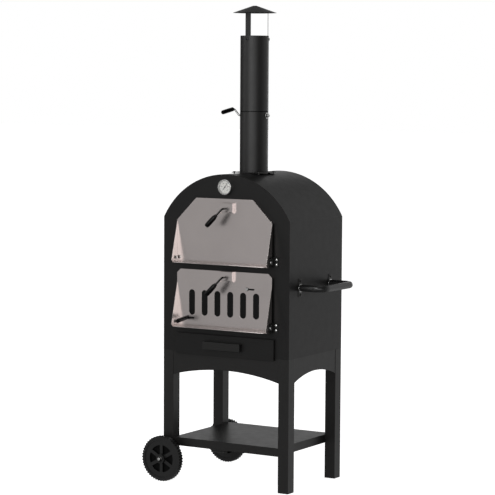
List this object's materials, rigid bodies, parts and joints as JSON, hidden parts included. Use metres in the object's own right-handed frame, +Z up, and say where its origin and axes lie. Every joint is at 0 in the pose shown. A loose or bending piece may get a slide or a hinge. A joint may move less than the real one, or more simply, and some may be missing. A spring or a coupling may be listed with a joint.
{
  "type": "wood fired pizza oven",
  "caption": "Free-standing outdoor pizza oven with an arched black steel body, stainless doors, chimney with damper and rain cap, ash drawer, and a wheeled stand with a shelf.",
  "frame": {"origin": "on the floor, at the middle of the overall footprint", "axes": "+X to the oven's right as one faces its doors (towards the carrying handle), +Y from the doors to the back, +Z up"},
  "size_m": [0.63, 0.4709, 1.556],
  "materials": {
    "black_paint": "satin black powder coat on tube and folded sheet",
    "body_paint": "satin black heat-resistant paint on sheet steel",
    "chimney_paint": "matt black stove paint",
    "handle_paint": "gloss black paint on bent tube",
    "black_plastic": "moulded black plastic",
    "wheel_plastic": "moulded dark grey plastic, fine texture",
    "grip_plastic": "black heat-resistant plastic, slight sheen",
    "zinc_steel": "bright zinc plated steel",
    "black_steel": "blackened steel rod",
    "stainless_sheet": "satin stainless sheet, warm grey reflections",
    "slider_steel": "black painted sheet",
    "bezel_steel": "polished stainless",
    "dial_face": "white printed dial with plain graduations",
    "needle_paint": "black painted pointer",
    "dial_glass": "clear flat glass",
    "cast_grate": "rough cast iron",
    "baking_stone": "buff cordierite, matt and slightly porous",
    "rack_chrome": "chromed wire"
  },
  "bodies": {
    "oven": {"leg_front_right": "black_paint", "leg_back_right": "black_paint", "leg_front_left": "black_paint", "leg_back_left": "black_paint", "leg_caps": "black_plastic", "apron_front": "black_paint", "apron_back": "black_paint", "apron_left": "black_paint", "apron_right": "black_paint", "bottom_shelf": "black_paint", "wheel_bolts": "zinc_steel", "push_nuts": "black_steel", "body_shell": "body_paint", "front_panel": "body_paint", "rear_panel": "body_paint", "body_floor": "body_paint", "side_rails": "zinc_steel", "charcoal_grate": "cast_grate", "pizza_stone": "baking_stone", "cooking_rack": "rack_chrome", "drawer_runners": "zinc_steel", "hinge_brackets": "black_paint", "pivot_bolts": "zinc_steel", "pivot_nuts": "zinc_steel", "thermometer_case": "bezel_steel", "thermometer_dial": "dial_face", "thermometer_glass": "dial_glass", "chimney_plate": "chimney_paint", "lower_pipe": "chimney_paint", "upper_pipe": "chimney_paint", "rain_cap": "chimney_paint", "cap_straps": "chimney_paint", "panel_screws": "zinc_steel", "side_handle": "handle_paint", "handle_plates": "black_paint", "handle_collars": "bezel_steel"},
    "front_wheel_body": {"front_wheel": "wheel_plastic"},
    "rear_wheel_body": {"rear_wheel": "wheel_plastic"},
    "ash_drawer": {"ash_tray": "zinc_steel", "drawer_front": "body_paint", "drawer_pull": "black_paint"},
    "upper_door_leaf": {"upper_door": "stainless_sheet", "upper_latch_bracket": "stainless_sheet"},
    "upper_latch": {"upper_latch_rod": "black_steel", "upper_latch_grip": "grip_plastic", "upper_latch_tongue": "zinc_steel"},
    "lower_door_leaf": {"lower_door": "stainless_sheet", "lower_latch_bracket": "stainless_sheet"},
    "lower_latch": {"lower_latch_rod": "black_steel", "lower_latch_grip": "grip_plastic", "lower_latch_tongue": "zinc_steel"},
    "vent_slide_body": {"vent_slider": "slider_steel", "vent_guide_screw": "zinc_steel", "vent_knob_rod": "black_steel", "vent_knob_grip": "grip_plastic"},
    "needle": {"thermometer_needle": "needle_paint"},
    "damper": {"damper_plate": "chimney_paint", "damper_rod": "zinc_steel", "damper_grip": "grip_plastic", "damper_nut": "zinc_steel"}
  },
  "joints": [
    {"name": "front_wheel_spin", "type": "hinge", "parent": "oven", "child": "front_wheel_body", "pos_m": [-0.24, -0.1928, 0.075], "axis": [0, 1, 0], "continuous": true},
    {"name": "rear_wheel_spin", "type": "hinge", "parent": "oven", "child": "rear_wheel_body", "pos_m": [-0.24, 0.2112, 0.075], "axis": [0, 1, 0], "continuous": true},
    {"name": "ash_drawer_slide", "type": "slide", "parent": "oven", "child": "ash_drawer", "axis": [0, -1, 0], "range_m": [0, 0.23]},
    {"name": "upper_door_hinge", "type": "hinge", "parent": "oven", "child": "upper_door_leaf", "pos_m": [-0.0175, -0.1843, 0.7405], "axis": [1, 0, 0], "range_deg": [0, 80]},
    {"name": "upper_latch_turn", "type": "hinge", "parent": "upper_door_leaf", "child": "upper_latch", "pos_m": [-0.0055, -0.1843, 0.9055], "axis": [0, -1, 0], "range_deg": [0, 90]},
    {"name": "lower_door_hinge", "type": "hinge", "parent": "oven", "child": "lower_door_leaf", "pos_m": [-0.0175, -0.1843, 0.531], "axis": [1, 0, 0], "range_deg": [0, 80]},
    {"name": "lower_latch_turn", "type": "hinge", "parent": "lower_door_leaf", "child": "lower_latch", "pos_m": [-0.0055, -0.1843, 0.685], "axis": [0, -1, 0], "range_deg": [0, 90]},
    {"name": "vent_slide", "type": "slide", "parent": "lower_door_leaf", "child": "vent_slide_body", "axis": [1, 0, 0], "range_m": [0, 0.02425]},
    {"name": "damper_turn", "type": "hinge", "parent": "oven", "child": "damper", "pos_m": [-0.0175, 0.0092, 1.2], "axis": [1, 0, 0], "range_deg": [0, 90]},
    {"name": "thermometer_needle_turn", "type": "hinge", "parent": "oven", "child": "needle", "pos_m": [-0.0175, -0.1708, 0.973], "axis": [0, -1, 0], "range_deg": [-180, 90], "stiffness_Nm_per_rad": 0.002}
  ]
}
